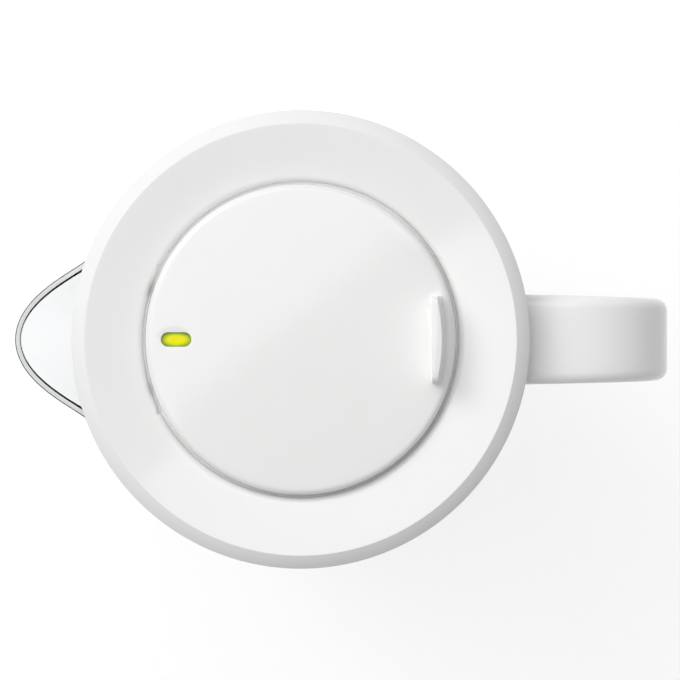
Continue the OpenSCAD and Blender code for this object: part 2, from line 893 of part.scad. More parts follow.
module flap_underside() {
    color("whitesmoke")
        difference() {
            union() {
                // Plate with an upstand that carries the cover's skin
                difference() {
                    translate([0, 0, plate_z])
                        cylinder(r = plate_r, h = under_z - plate_z);
                    translate([0, 0, plate_top])
                        cylinder(r = plate_r - 1.6, h = 10);
                    translate([-hinge_x - 20, -50, plate_z - 1])
                        cube([20 + hinge_x - chord_x + 0.4, 100, 20]);
                }
                translate([cell_x, 0, boss_low])
                    cylinder(r = boss_r, h = plate_top - boss_low);
                translate([button_x, 0, button_boss_z])
                    cylinder(r = button_boss_r, h = plate_top - button_boss_z);
                hinge_knuckles();
            }
            translate([cell_x, 0, boss_low - 1])
                cylinder(r = pocket_r, h = 20);
            translate([cell_x, 0, boss_low - 1])
                cylinder(r = seat_step_r, h = 1 + cover_t + seal_t);
            translate([button_x, 0, button_boss_z - 1])
                cylinder(r = button_r + snug, h = 10);
            translate([button_x, 0, button_seat_z])
                cylinder(r = button_flange_r + snug, h = 10);
            // Room for the lens between the knuckles
            translate([-window_x - window_len / 2 - 2, -window_w / 2 - 2, plate_top])
                cube([window_len + 4, window_w + 4, 10]);
        }
}

module hinge_knuckles() {
    for (side = [-1, 1]) {
        mid = side * (knuckle_y[0] + knuckle_y[1]) / 2;
        long = knuckle_y[1] - knuckle_y[0];
        at_hinge()
            translate([0, 0, mid])
                cylinder(r = knuckle_r, h = long, center = true);
        translate([-hinge_x - 1.2, mid - long / 2, hinge_z])
            cube([hinge_x - chord_x + 4, long, under_z - hinge_z]);
        translate([-hinge_x + knuckle_r - 0.5, mid - long / 2, plate_z])
            cube([hinge_x - chord_x + 2.4 - knuckle_r, long, under_z - plate_z]);
        at_hinge()
            translate([0, 0, side > 0 ? -ear_y[1] : knuckle_y[1] - 1])
                cylinder(r = pin_r, h = ear_y[1] - knuckle_y[1] + 1);
    }
}

module light_window() {
    color([0.75, 0.9, 0.1])
        translate([-window_x, 0, 0]) {
            stadium(window_len - 0.3, window_w - 0.3, under_z - 0.5, flap_z - window_depth);
            stadium(window_len + 2, window_w + 2, under_z - 1.1, under_z);
        }
}

board_t = 1;
board_w = 20;
board_from = -45.5;
board_to = -3;

module indicator_board() {
    color("seagreen") {
        translate([board_from, -board_w / 2, plate_top])
            cube([board_to - board_from, board_w, board_t]);
        // Pad that touches the cell, and the dome switch over the button
        translate([cell_x, 0, plate_top - pad_t])
            cylinder(r = 3, h = pad_t);
        translate([button_x, 0, plate_top - pad_t])
            cylinder(r = 2, h = pad_t);
    }
}

module indicator_led() {
    color("gold")
        translate([-44.9, -0.8, plate_top + board_t])
            cube([3.2, 1.6, under_z - 1.1 - plate_top - board_t]);
}

module coin_cell() {
    color("silver")
        translate([cell_x, 0, cell_z]) {
            cylinder(r = cell_r - 0.8, h = cell_t);
            translate([0, 0, 0.5])
                cylinder(r = cell_r, h = cell_t - 0.5);
        }
}

strip_len = 12;

module battery_contact() {
    // A bent strip that the cover presses up against the cell
    color("goldenrod")
        translate([cell_x, -2, cover_top]) {
            translate([-strip_len / 2, 0, cell_z - cover_top - strip_t])
                cube([strip_len, 4, strip_t]);
            for (x = [-strip_len / 2, strip_len / 2 - strip_t])
                translate([x, 0, 0])
                    cube([strip_t, 4, cell_z - cover_top]);
        }
}

module battery_cover() {
    // A round cover with a coin slot
    color("white")
        translate([cell_x, 0, boss_low])
            difference() {
                cylinder(r = seat_step_r - snug, h = cover_t);
                translate([-6, -0.9, -1])
                    cube([12, 1.8, 1.9]);
            }
}

module cover_seal() {
    color("slategray")
        translate([cell_x, 0, cover_top])
            difference() {
                cylinder(r = seat_step_r - 0.4, h = seal_t);
                translate([0, 0, -1])
                    cylinder(r = pocket_r + 0.4, h = 3);
            }
}

module reset_button() {
    color("gray")
        translate([button_x, 0, 0]) {
            translate([0, 0, button_boss_z - 0.8])
                cylinder(r = button_r, h = button_top - button_boss_z + 0.8);
            translate([0, 0, button_top - button_flange_t])
                cylinder(r = button_flange_r, h = button_flange_t);
        }
}

jug_body();
base_ring();
handle_shell();
handle_back();
funnel();
cartridge_cup();
cartridge_cap();
cartridge_media();
inlet_mesh();
outlet_mesh();
cartridge_seal();
lid_ring();
lid_liner();
flap_cover();
flap_underside();
light_window();
indicator_board();
indicator_led();
coin_cell();
battery_contact();
battery_cover();
cover_seal();
reset_button();
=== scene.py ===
"""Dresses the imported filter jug: the clear wall and its spout, the handle, the hopper and
cartridge, the lid with its flip flap and light window, and the stage it is shown on."""

import math

import bmesh
import bpy
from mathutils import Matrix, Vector


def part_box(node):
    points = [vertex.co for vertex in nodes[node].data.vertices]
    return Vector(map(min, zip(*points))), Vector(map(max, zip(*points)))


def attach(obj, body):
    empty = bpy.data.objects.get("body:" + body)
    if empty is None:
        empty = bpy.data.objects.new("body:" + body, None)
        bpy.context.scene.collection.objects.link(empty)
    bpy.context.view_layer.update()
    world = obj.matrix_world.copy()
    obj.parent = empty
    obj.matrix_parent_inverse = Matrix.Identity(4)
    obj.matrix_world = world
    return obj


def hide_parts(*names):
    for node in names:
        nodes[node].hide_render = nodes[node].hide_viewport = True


bl_info = {
    "name": "Filter jug with flip lid",
    "version": (1, 0, 0),
    "blender": (4, 5, 0),
    "location": "3D View > Sidebar > Filter jug",
    "description": "Dresses a packed filter jug with fine meshes and procedural plastics",
    "category": "Object",
}

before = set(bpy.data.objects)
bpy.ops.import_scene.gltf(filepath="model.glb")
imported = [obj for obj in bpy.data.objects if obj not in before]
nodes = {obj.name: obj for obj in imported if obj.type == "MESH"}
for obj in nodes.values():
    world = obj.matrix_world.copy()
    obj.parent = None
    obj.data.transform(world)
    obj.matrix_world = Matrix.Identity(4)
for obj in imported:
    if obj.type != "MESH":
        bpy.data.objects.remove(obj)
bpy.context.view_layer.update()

MM = 0.001

# Half the turn, in degrees, that the ledge inside the rim leaves to the spout
LEDGE_END = 30
# How fast the spout swells out towards its lip
SPOUT_CURVE = 1.35
# Rows of faces: up the round side, up the spout, inside the spout, along the handle
SIDE_ROWS, SPOUT_ROWS, INNER_ROWS = 26, 40, 34
HANDLE_ROWS = 132
# Gap between the handle's shells and the clear wall
WALL_GAP = 0.08 * MM
# Radius of the small disc at the middle of the bottom
HUB = 0.5 * MM
# Thickness of the hopper's flange and the gap between it and the ledge
FLANGE, SEAT_GAP = 3 * MM, 0.25 * MM


def length(name, text, default, low=0.0, high=1.0):
    """A size in metres for a property group."""
    return bpy.props.FloatProperty(
        name=name, description=text, default=default, min=low, max=high,
        subtype="DISTANCE", unit="LENGTH", precision=5,
    )


def angle(name, text, degrees):
    """An angle for a property group."""
    return bpy.props.FloatProperty(
        name=name, description=text, default=math.radians(degrees),
        subtype="ANGLE", unit="ROTATION",
    )


def tint(name, text, default):
    """A colour for a property group."""
    return bpy.props.FloatVectorProperty(
        name=name, description=text, default=default, size=3, min=0.0, max=1.0,
        subtype="COLOR",
    )


class JugSizes(bpy.types.PropertyGroup):
    """The clear jug and its spout."""

    height: length("Height", "Height of the rim above the table", 240 * MM)
    rim_radius: length("Rim radius", "Outer radius of the rim", 84 * MM)
    base_radius: length("Base radius", "Outer radius above the bottom corner", 60 * MM)
    bow: length("Bow", "How far the wall bows outwards at mid height", 2.5 * MM)
    wall: length("Wall", "Thickness of the clear wall", 2.6 * MM)
    corner: length("Corner", "Outer radius of the bottom corner", 8 * MM)
    lift: length("Lift", "Height of the jug's bottom above the table", 2 * MM)
    ledge: length("Ledge", "Width of the ledge under the hopper's flange", 3 * MM)
    spout_reach: length("Spout reach", "How far the spout's tip passes the rim", 25.6 * MM)
    spout_depth: length("Spout depth", "Height of the spout from root to lip", 66 * MM)
    spout_top: angle("Spout at rim", "Half angle of the spout at the rim", 27)
    spout_low: angle("Spout at root", "Half angle of the spout at its root", 15)
    foot_inset: length("Foot inset", "Inset of the soft ring from the flat's edge", 0.5 * MM)
    foot_width: length("Foot width", "Width of the soft ring", 6 * MM)
    groove: length("Groove", "Depth of the groove that holds the soft ring", 1.2 * MM)


class HandleSizes(bpy.types.PropertyGroup):
    """The two shells of the handle."""

    reach: length("Reach", "Distance of the outermost face from the axis", 142.5 * MM)
    top: length("Top", "Height of the centre line at the rim", 226 * MM)
    low: length("Low", "Height of the centre line at its lower end", 88 * MM)
    thickness: length("Thickness", "Thickness of the handle", 16 * MM)
    width_rim: length("Width at rim", "Width where it leaves the rim", 35 * MM)
    width_corner: length("Width at corner", "Width at the outer corner", 31.5 * MM)
    width_low: length("Width below", "Width at the lower end", 28 * MM)
    rounding: length("Rounding", "Rounding of the long edges", 4.6 * MM)
    parting: length("Parting line", "Chamfer beside the parting line", 0.28 * MM)
    parting_drop: length("Parting drop", "Depth of the parting line below the middle", 1.5 * MM)
    parting_gap: length("Parting gap", "Gap between the two shells", 0.15 * MM)


class WindowSizes(bpy.types.PropertyGroup):
    """The light window set into the flap."""

    lens_place: length("Place", "Distance of the window from the axis", 47.4 * MM)
    lens_length: length("Length", "Length of the window", 11.6 * MM)
    lens_width: length("Width", "Width of the window", 5.5 * MM)


class Finishes(bpy.types.PropertyGroup):
    """Colours of the object's plastics."""

    lid_white: tint("Lid white", "Glossy white of the lid and the flap", (0.9, 0.9, 0.895))
    # The handle is whiter than the lid as painted light, making up for the shade that the lid
    # casts on it
    handle_white_painted_light: tint("Handle white", "White of the handle's shells", (0.96, 0.96, 0.955))
    inner_white: tint("Inner white", "Satin white of the pieces inside", (0.86, 0.86, 0.85))
    clear: tint("Clear", "Tint of the clear wall", (0.95, 0.957, 0.963))
    # The rim's pale colour is painted light, for the light that runs down the clear wall
    rim: tint("Rim", "Colour of the rim's flat edge", (0.95, 0.965, 0.97))
    milky: tint("Milky", "Tint of the hopper", (0.93, 0.95, 0.96))
    foot_grey: tint("Foot grey", "Colour of the soft foot ring", (0.72, 0.73, 0.73))
    # The window's core is painted glow, and its rim is darkened towards the edge as painted shade
    lime: tint("Lime", "Colour of the light window's rim", (0.33, 0.44, 0.03))
    glow: tint("Glow", "Colour of the light window's core", (0.68, 0.655, 0.008))


# ---------------------------------------------------------------- materials


class Finish:
    """Builds one material: a principled surface with its colour, roughness and relief nodes."""

    def __init__(self, name, colour, roughness, **sockets):
        self.material = bpy.data.materials.new(name)
        self.material.use_nodes = True
        self.tree = self.material.node_tree
        self.surface = self.tree.nodes["Principled BSDF"]
        self.place = self.add("ShaderNodeTexCoord").outputs["Object"]
        self.colour = colour
        self.surface.inputs["Base Color"].default_value = (*colour, 1.0)
        self.surface.inputs["Roughness"].default_value = roughness
        for socket, value in sockets.items():
            self.surface.inputs[socket.replace("_", " ")].default_value = value

    def add(self, kind, **values):
        """A node with its settings, given as attributes or as sockets' values."""
        node = self.tree.nodes.new(kind)
        for key, value in values.items():
            if key in node.inputs:
                node.inputs[key].default_value = value
            else:
                setattr(node, key, value)
        return node

    def link(self, a, b):
        self.tree.links.new(a, b)

    def noise(self, scale, detail=3.0, roughness=0.5, stretch=None):
        """Cloudy noise over the object, per metre, and stretched along an axis if asked."""
        node = self.add("ShaderNodeTexNoise", Scale=scale, Detail=detail, Roughness=roughness)
        if stretch:
            turn = self.add("ShaderNodeMapping", Scale=stretch)
            self.link(self.place, turn.inputs["Vector"])
            self.link(turn.outputs["Vector"], node.inputs["Vector"])
        else:
            self.link(self.place, node.inputs["Vector"])
        return node.outputs["Fac"]

    def ramp(self, value, stops):
        """Turns a value into a colour between stops of (place, colour)."""
        node = self.add("ShaderNodeValToRGB")
        marks = node.color_ramp.elements
        while len(marks) < len(stops):
            marks.new(0.5)
        for mark, (place, colour) in zip(marks, stops):
            mark.position = place
            mark.color = (*colour, 1.0)
        self.link(value, node.inputs["Fac"])
        return node.outputs["Color"]

    def band(self, value, low, high):
        """Turns a value from 0 to 1 into one between low and high."""
        node = self.add("ShaderNodeMapRange")
        node.inputs["To Min"].default_value = low
        node.inputs["To Max"].default_value = high
        self.link(value, node.inputs["Value"])
        return node.outputs["Result"]

    def mottle(self, scale, spread):
        """A slight unevenness of the colour over the surface."""
        dark = tuple(c * (1 - spread) for c in self.colour)
        light = tuple(min(1.0, c * (1 + spread)) for c in self.colour)
        stops = [(0.3, dark), (0.7, light)]
        self.link(self.ramp(self.noise(scale), stops), self.surface.inputs["Base Color"])
        return self

    def polish(self, scale, low, high):
        """Roughness that wanders between two values, as handling leaves it."""
        self.link(self.band(self.noise(scale, 5.0), low, high), self.surface.inputs["Roughness"])
        return self

    def relief(self, heights):
        """Raises the surface by (value, strength, depth in metres), one upon another."""
        before = None
        for value, strength, depth in heights:
            node = self.add("ShaderNodeBump", Strength=strength, Distance=depth)
            self.link(value, node.inputs["Height"])
            if before:
                self.link(before, node.inputs["Normal"])
            before = node.outputs["Normal"]
        self.link(before, self.surface.inputs["Normal"])
        return self


def glossy_plastic(name, colour, low=0.05, high=0.09):
    """Moulded white plastic with a faint orange peel and the odd soft sink."""
    finish = Finish(name, colour, low, IOR=1.5)
    finish.mottle(35.0, 0.006).polish(90.0, low, high)
    finish.relief([
        (finish.noise(28.0, 1.0), 0.25, 0.00008),
        (finish.noise(2600.0, 2.0), 0.12, 0.00001),
    ])
    return finish


def satin_plastic(name, colour, low=0.38, high=0.5):
    """Moulded plastic with a fine spark-eroded grain."""
    finish = Finish(name, colour, low, IOR=1.48)
    finish.mottle(50.0, 0.015).polish(120.0, low, high)
    finish.relief([(finish.noise(4200.0, 3.0), 0.35, 0.00002)])
    return finish


def clear_plastic(name, colour):
    """Polished clear plastic with faint flow lines and a few rubbed places."""
    finish = Finish(name, colour, 0.02, IOR=1.25, Transmission_Weight=1.0)
    finish.polish(60.0, 0.008, 0.045)
    finish.relief([(finish.noise(24.0, 1.5, 0.4, (1.0, 1.0, 0.35)), 0.15, 0.00012)])
    return finish


def rim_painted_light(name, colour):
    """The rim's flat edge, pale and part frosted as painted light: it stands for the light that
    runs down the clear wall and comes out there.
    """
    finish = Finish(name, colour, 0.35, IOR=1.3, Transmission_Weight=0.25)
    finish.mottle(60.0, 0.01).polish(200.0, 0.3, 0.45)
    finish.relief([(finish.noise(1800.0, 2.0), 0.2, 0.00001)])
    return finish


def milky_plastic(name, colour):
    """Translucent plastic that scatters light: the inside shows as a soft shade."""
    finish = Finish(name, colour, 0.3, IOR=1.48, Transmission_Weight=0.35)
    finish.mottle(40.0, 0.01).polish(80.0, 0.25, 0.38)
    finish.relief([(finish.noise(3200.0, 2.0), 0.2, 0.00001)])
    return finish


def soft_rubber(name, colour):
    """Soft grey elastomer with a dusty bloom."""
    finish = Finish(name, colour, 0.6, IOR=1.45)
    finish.mottle(160.0, 0.05).polish(140.0, 0.5, 0.72)
    finish.relief([(finish.noise(2400.0, 4.0), 0.5, 0.00004)])
    return finish


def woven_mesh(name, colour):
    """Fine plastic gauze: two sets of threads across each other."""
    finish = Finish(name, colour, 0.5)
    threads = []
    for direction in ("X", "Y"):
        wave = finish.add("ShaderNodeTexWave", Scale=320.0, Distortion=0.0)
        wave.bands_direction = direction
        finish.link(finish.place, wave.inputs["Vector"])
        threads.append(wave.outputs["Fac"])
    both = finish.add("ShaderNodeMath", operation="MAXIMUM")
    finish.link(threads[0], both.inputs[0])
    finish.link(threads[1], both.inputs[1])
    dark = tuple(0.35 * c for c in colour)
    finish.link(finish.ramp(both.outputs["Value"], [(0.35, dark), (0.75, colour)]),
                finish.surface.inputs["Base Color"])
    finish.relief([(both.outputs["Value"], 0.8, 0.0002)])
    finish.polish(200.0, 0.42, 0.6)
    return finish


def granules(name):
    """Resin beads among dark grains."""
    finish = Finish(name, (0.3, 0.26, 0.2), 0.6)
    cells = finish.add("ShaderNodeTexVoronoi", Scale=1100.0)
    finish.link(finish.place, cells.inputs["Vector"])
    split = finish.add("ShaderNodeSeparateColor")
    finish.link(cells.outputs["Color"], split.inputs["Color"])
    stops = [(0.0, (0.03, 0.03, 0.035)), (0.42, (0.05, 0.045, 0.04)),
             (0.46, (0.62, 0.5, 0.3)), (0.8, (0.72, 0.62, 0.42)), (1.0, (0.8, 0.74, 0.6))]
    finish.link(finish.ramp(split.outputs["Red"], stops), finish.surface.inputs["Base Color"])
    finish.relief([(cells.outputs["Distance"], 1.0, 0.0006)])
    finish.polish(400.0, 0.35, 0.75)
    return finish


def window_light(name, rim, core, centre, half_length, half_width):
    """The lens of the indicator: a bright core of painted glow that falls off to a green rim,
    darkened at its edge as painted shade.
    """
    finish = Finish(name, rim, 0.3, IOR=1.2)
    shift = finish.add("ShaderNodeMapping")
    shift.inputs["Location"].default_value = (-centre.x / half_length, -centre.y / half_width, 0)
    shift.inputs["Scale"].default_value = (1 / half_length, 1 / half_width, 0)
    finish.link(finish.place, shift.inputs["Vector"])
    apart = finish.add("ShaderNodeVectorMath", operation="LENGTH")
    finish.link(shift.outputs["Vector"], apart.inputs[0])
    # Painted glow of the light diode in the core and painted shade from the window's walls at the
    # edge, in both the colour and the emission
    stops = [(0.0, core), (0.55, core), (0.86, rim), (1.0, tuple(0.7 * c for c in rim))]
    colour = finish.ramp(apart.outputs["Value"], stops)
    finish.link(colour, finish.surface.inputs["Base Color"])
    finish.link(colour, finish.surface.inputs["Emission Color"])
    finish.surface.inputs["Emission Strength"].default_value = 0.3
    finish.polish(300.0, 0.2, 0.35)
    finish.relief([(finish.noise(2500.0, 2.0), 0.3, 0.00003)])
    return finish


def circuit_board(name):
    """Green board with paler tracks under the mask."""
    finish = Finish(name, (0.03, 0.2, 0.1), 0.35)
    tracks = finish.add("ShaderNodeTexBrick", Scale=260.0)
    tracks.inputs["Color1"].default_value = (0.02, 0.17, 0.08, 1)
    tracks.inputs["Color2"].default_value = (0.03, 0.2, 0.1, 1)
    tracks.inputs["Mortar"].default_value = (0.1, 0.36, 0.18, 1)
    tracks.inputs["Mortar Size"].default_value = 0.05
    finish.link(finish.place, tracks.inputs["Vector"])
    finish.link(tracks.outputs["Color"], finish.surface.inputs["Base Color"])
    finish.relief([(tracks.outputs["Fac"], 0.4, 0.00003)])
    finish.polish(300.0, 0.28, 0.45)
    return finish


def turned_metal(name, colour, low=0.2, high=0.36):
    """Bare metal with the fine scratches of stamping and handling."""
    finish = Finish(name, colour, low, Metallic=1.0)
    finish.mottle(300.0, 0.05)
    finish.polish(900.0, low, high)
    finish.relief([(finish.noise(500.0, 4.0, 0.6, (1.0, 14.0, 1.0)), 0.25, 0.00002)])
    return finish


# ------------------------------------------------------------------ meshes


def bake(name, rings, closed_rings=True, caps=(), body=None, material=None):
    """Joins rings of points into a smooth mesh that rides on a body."""
    mesh = bpy.data.meshes.new(name)
    shape = bmesh.new()
    rows = [[shape.verts.new(p) for p in ring] for ring in rings]
    count = len(rings[0])
    last = count if closed_rings else count - 1
    for near, far in zip(rows, rows[1:]):
        for i in range(last):
            k = (i + 1) % count
            shape.faces.new((near[i], near[k], far[k], far[i]))
    for cap in caps:
        shape.faces.new(rows[cap] if cap else list(reversed(rows[cap])))
    bmesh.ops.remove_doubles(shape, verts=shape.verts, dist=1e-7)
    bmesh.ops.recalc_face_normals(shape, faces=shape.faces)
    shape.to_mesh(mesh)
    shape.free()
    for face in mesh.polygons:
        face.use_smooth = True
    piece = bpy.data.objects.new(name, mesh)
    bpy.context.scene.collection.objects.link(piece)
    if material:
        mesh.materials.append(material)
    if body:
        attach(piece, body)
    return piece


def arc(centre, radius, start, end, steps):
    """Points on an arc in a plane, from a start to an end angle in degrees."""
    return [
        (centre[0] + radius * math.cos(math.radians(start + (end - start) * i / steps)),
         centre[1] + radius * math.sin(math.radians(start + (end - start) * i / steps)))
        for i in range(steps + 1)
    ]


def spread(start, end, count):
    """Evenly spaced values after a start, up to an end."""
    return [start + (end - start) * i / count for i in range(1, count + 1)]


def crisp(piece, degrees):
    """Keeps corners sharper than an angle sharp under smooth shading."""
    split = piece.modifiers.new("crisp corners", "EDGE_SPLIT")
    split.split_angle = math.radians(degrees)


def dress(names, material, width=0.25 * MM, segments=2):
    """Gives CAD pieces their material and takes the sharpness off their moulded edges."""
    for name in names:
        piece = nodes[name]
        piece.data.materials.clear()
        piece.data.materials.append(material)
        weld = piece.modifiers.new("joined faces", "WELD")
        weld.merge_threshold = 2e-6
        if width:
            edge = piece.modifiers.new("moulded edges", "BEVEL")
            edge.limit_method = "ANGLE"
            edge.angle_limit = math.radians(32)
            edge.width = width
            edge.segments = segments
            edge.harden_normals = False
        crisp(piece, 40)
        for face in piece.data.polygons:
            face.use_smooth = True


class Wall:
    """The shape of the clear wall: a bowed round side with the spout swelling out of it."""

    def __init__(self, sizes):
        self.s = sizes
        self.corner_z = sizes.lift + sizes.corner
        self.root = sizes.height - sizes.spout_depth

    def side(self, z):
        t = (z - self.corner_z) / (self.s.height - self.corner_z)
        return (self.s.base_radius + (self.s.rim_radius - self.s.base_radius) * t
                + self.s.bow * math.sin(math.pi * t))

    def radius(self, turn, z):
        """Outer radius at a turn from the spout's middle, in radians."""
        rise = max(0.0, (z - self.root) / self.s.spout_depth)
        half = self.s.spout_low + (self.s.spout_top - self.s.spout_low) * rise
        bell = math.cos(math.pi / 2 * turn / half) ** 2 if abs(turn) < half else 0.0
        return self.side(z) + self.s.spout_reach * rise ** SPOUT_CURVE * bell

    def point(self, turn, z, depth):
        """A point at a depth below the outer face."""
        r = self.radius(turn, z)
        step = 1e-4
        slope = (self.radius(turn + step, z) - self.radius(turn - step, z)) / (2 * step)
        size = math.hypot(r, slope)
        # The outline's normal in the frame of the point's own radius
        out, along = r / size, -slope / size
        x, y = r - depth * out, -depth * along
        a = math.pi + turn
        return Vector((x * math.cos(a) - y * math.sin(a), x * math.sin(a) + y * math.cos(a), z))


def jug_columns():
    """Turns from the spout's middle, closer together over the spout and at the ledge's ends."""
    fine = [1.2 * i for i in range(-24, 25)]
    ends = [LEDGE_END - 0.1, LEDGE_END + 0.1]
    first, last = ends[1], 360 - ends[1]
    rest = [first + (last - first) * i / 150 for i in range(1, 150)]
    turns = fine + ends + rest + [360 - a for a in reversed(ends)]
    return [math.radians(a) for a in turns]


def wrapped(turn):
    """The same turn between minus and plus half a circle."""
    return turn - 2 * math.pi if turn > math.pi else turn


class JUG_OT_clear_wall(bpy.types.Operator):
    """Builds the clear jug with its spout, rim, ledge and foot groove"""

    bl_idname = "filterjug.clear_wall"
    bl_label = "Clear jug"

    def execute(self, context):
        sizes, finishes = context.scene.jug_sizes, context.scene.jug_finishes
        wall = Wall(sizes)
        turns = jug_columns()
        rings = []

        def level(r, z):
            """Adds a round ring."""
            rings.append([Vector((r * math.cos(math.pi + a), r * math.sin(math.pi + a), z))
                          for a in turns])

        def skin(z, depth, extra=None):
            """Adds a ring at a depth below the wall's outer face."""
            extra = extra or [0.0] * len(turns)
            rings.append([wall.point(wrapped(a), z, depth + e) for a, e in zip(turns, extra)])

        t, top = sizes.wall, sizes.height
        flat = sizes.base_radius - sizes.corner
        # Underside with the groove of the foot ring, 1 mm inside the ring's edges
        foot, side, edge = flat - sizes.foot_inset, 1 * MM, 0.15 * MM
        inner, outer = foot - sizes.foot_width + side, foot - side
        for r, z in ((HUB, 0), (inner / 2, 0), (inner - edge, 0), (inner, edge),
                     (inner, sizes.groove), (outer, sizes.groove), (outer, edge),
                     (outer + edge, 0)):
            level(r, sizes.lift + z)
        for r, z in arc((flat, wall.corner_z), sizes.corner, -90, -6, 9):
            level(r, z)
        # Outer face, up to the rim's rounding
        lip = 0.7 * MM
        skin(wall.corner_z, 0)
        for z in (spread(wall.corner_z, wall.root, SIDE_ROWS)
                  + spread(wall.root, top - lip, SPOUT_ROWS)):
            skin(z, 0)
        # Rounded rim, with its flat top between the second and the third ring
        skin(top - 0.2 * lip, 0.2 * lip)
        skin(top, 0.75 * lip)
        rim = len(rings) - 1
        skin(top, t - 0.75 * lip)
        skin(top - 0.2 * lip, t - 0.2 * lip)
        skin(top - lip, t)
        # The ledge inside the rim stops beside the spout
        ledge_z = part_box("funnel")[1].z - FLANGE - SEAT_GAP
        low = ledge_z - 2.5 * sizes.ledge
        heavy = [0.0 if abs(wrapped(a)) < math.radians(LEDGE_END) else sizes.ledge
                 for a in turns]
        for share, z in ((0.0, ledge_z), (1.0, ledge_z), (1.0, ledge_z - 1.5 * MM),
                         (0.1, low), (0.0, low)):
            skin(z, t, [share * h for h in heavy])
        # Inner face and floor
        for z in (spread(low, wall.root, INNER_ROWS)
                  + spread(wall.root, wall.corner_z, SIDE_ROWS)):
            skin(z, t)
        for r, z in arc((flat, wall.corner_z), sizes.corner - t, -6, -90, 8):
            level(r, z)
        level(flat / 2, sizes.lift + t)
        level(HUB, sizes.lift + t)

        clear = clear_plastic("clear wall plastic", finishes.clear).material
        piece = bake("clear_jug_wall", rings, caps=(0, len(rings) - 1), body="jug",
                     material=clear)
        # The rim's flat top gets a pale finish as painted light
        piece.data.materials.append(rim_painted_light("rim edge painted light", finishes.rim).material)
        for face in piece.data.polygons:
            if face.index // len(turns) == rim:
                face.material_index = 1
        crisp(piece, 50)
        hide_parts("jug_body")
        dress(["base_ring"], soft_rubber("soft foot rubber", finishes.foot_grey).material)
        return {"FINISHED"}


def bezier(p, t):
    """A point on a cubic curve."""
    q = 1 - t
    return [q ** 3 * p[0][k] + 3 * q * q * t * p[1][k] + 3 * q * t * t * p[2][k] + t ** 3 * p[3][k]
            for k in (0, 1)]


def bezier_way(p, t):
    """The direction of a cubic curve."""
    q = 1 - t
    return [3 * q * q * (p[1][k] - p[0][k]) + 6 * q * t * (p[2][k] - p[1][k])
            + 3 * t * t * (p[3][k] - p[2][k]) for k in (0, 1)]


class Grip:
    """The path and the sections of the handle."""

    def __init__(self, sizes, jug):
        self.s = sizes
        self.wall = Wall(jug)
        self.half = sizes.thickness / 2
        x, top, low = sizes.reach - self.half, sizes.top, sizes.low
        # Where the curves begin, meet and end: in the wall at the rim, below the
        # upper corner, above the lower arm, and in the wall at the lower end
        root = (jug.rim_radius - 6 * MM, top + 0.5 * MM)
        corner = (x, top - 32 * MM)
        bend = (x - 33 * MM, low + 10 * MM)
        foot = (jug.base_radius + 1 * MM, low)
        crest = top + 2 * MM
        self.curves = [
            [root, (x - 30 * MM, crest), (x, crest), corner],
            [corner, (x, top - 72 * MM), (x - 6 * MM, low + 25 * MM), bend],
            [bend, (x - 46 * MM, low + 3 * MM), (x - 58 * MM, low), foot],
        ]

    def width(self, u):
        s = self.s
        if u < 1:
            return s.width_rim + (s.width_corner - s.width_rim) * u
        return s.width_corner + (s.width_low - s.width_corner) * (u - 1) / 2

    def place(self, u, q):
        """A point of the section at u along the path: across and up from the centre line."""
        k = min(int(u), 2)
        p, d = bezier(self.curves[k], u - k), bezier_way(self.curves[k], u - k)
        size = math.hypot(*d)
        n = (-d[1] / size, d[0] / size)
        return Vector((p[0] + n[0] * q[1], q[0], p[1] + n[1] * q[1]))

    def outside(self, point):
        """How far a point lies outside the clear wall, less the gap left there."""
        return math.hypot(point.x, point.y) - self.wall.side(point.z) - WALL_GAP

    def crossing(self, section, index, inner, outer):
        """Where along the path a line of the section crosses the wall."""
        for _ in range(30):
            mid = (inner + outer) / 2
            if self.outside(self.place(mid, section(self.width(mid))[index])) < 0:
                inner = mid
            else:
                outer = mid
        return (inner + outer) / 2

    def rings(self, section, steps):
        """Rings of the shell from the wall at the rim to the wall at the lower end."""
        lines = range(len(section(self.width(0))))
        starts = [self.crossing(section, i, 0.0, 0.9) for i in lines]
        ends = [self.crossing(section, i, 3.0, 2.2) for i in lines]
        rings = []
        for j in range(steps + 1):
            along = [a + (b - a) * j / steps for a, b in zip(starts, ends)]
            rings.append([self.place(u, section(self.width(u))[i]) for i, u in enumerate(along)])
        return rings


